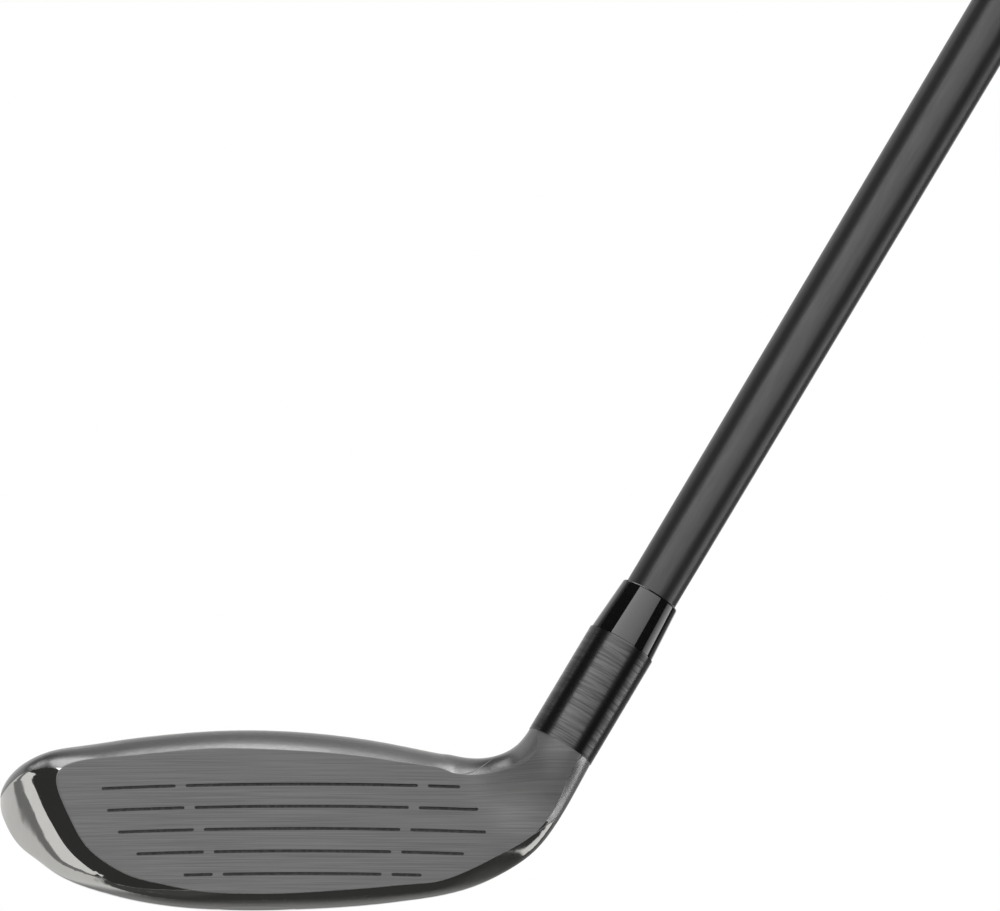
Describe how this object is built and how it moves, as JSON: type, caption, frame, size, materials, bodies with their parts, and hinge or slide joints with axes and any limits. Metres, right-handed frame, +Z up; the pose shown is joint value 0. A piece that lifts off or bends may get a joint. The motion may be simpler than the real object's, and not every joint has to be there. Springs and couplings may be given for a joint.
{
  "type": "hybrid golf club",
  "caption": "Right-handed hybrid golf club: hollow metal head with scored face and bonded hosel, tapered shaft with ferrule, rubber grip and a screwed toe weight.",
  "frame": {"origin": "middle of the flat ground pad of the sole, club at address", "axes": "+Z up from the ground, +X from toe to heel, -Y towards the target; the shaft axis lies in the plane Y = 0"},
  "size_m": [0.613, 0.0662, 0.8872],
  "materials": {
    "cast_steel": "polished skirt, satin top",
    "face_steel": "brushed along the face",
    "crown_skin": "satin",
    "score_paint": "matte paint",
    "damping_polymer": "matte",
    "weight_steel": "satin",
    "screw_steel": "black oxide",
    "heavy_alloy": "sintered",
    "hot_melt_glue": "waxy",
    "epoxy": "cured resin",
    "tip_brass": "turned",
    "shaft_graphite": "satin clear coat over carbon fibre",
    "ferrule_plastic": "polished",
    "tape": "paper backed",
    "grip_rubber": "textured"
  },
  "bodies": {
    "club": {"head_body": "cast_steel", "face_plate": "face_steel", "crown_plate": "crown_skin", "slot_insert": "damping_polymer", "rear_weight": "heavy_alloy", "hot_melt": "hot_melt_glue", "bond_epoxy": "epoxy", "tip_weight": "tip_brass", "shaft": "shaft_graphite", "ferrule": "ferrule_plastic", "grip_tape": "tape", "grip_sleeve": "grip_rubber", "grip_cap": "grip_rubber", "score_paint_1": "score_paint", "score_paint_2": "score_paint", "score_paint_3": "score_paint", "score_paint_4": "score_paint", "score_paint_5": "score_paint"},
    "weight": {"toe_weight": "weight_steel"},
    "weight_screw": {"toe_weight_screw": "screw_steel"}
  },
  "joints": [
    {"name": "weight_slide", "type": "slide", "parent": "club", "child": "weight", "axis": [-0.5758, 0.2489, -0.7788], "range_m": [0, 0.006]},
    {"name": "screw_turn", "type": "hinge", "parent": "weight", "child": "weight_screw", "pos_m": [-0.0372, 0.024, 0.0133], "axis": [-0.5758, 0.2489, -0.7788], "range_deg": [0, 2160]}
  ],
  "couplings": [
    {"joint": "screw_turn", "follows": "weight_slide", "rad_per_m": 6283.2}
  ]
}
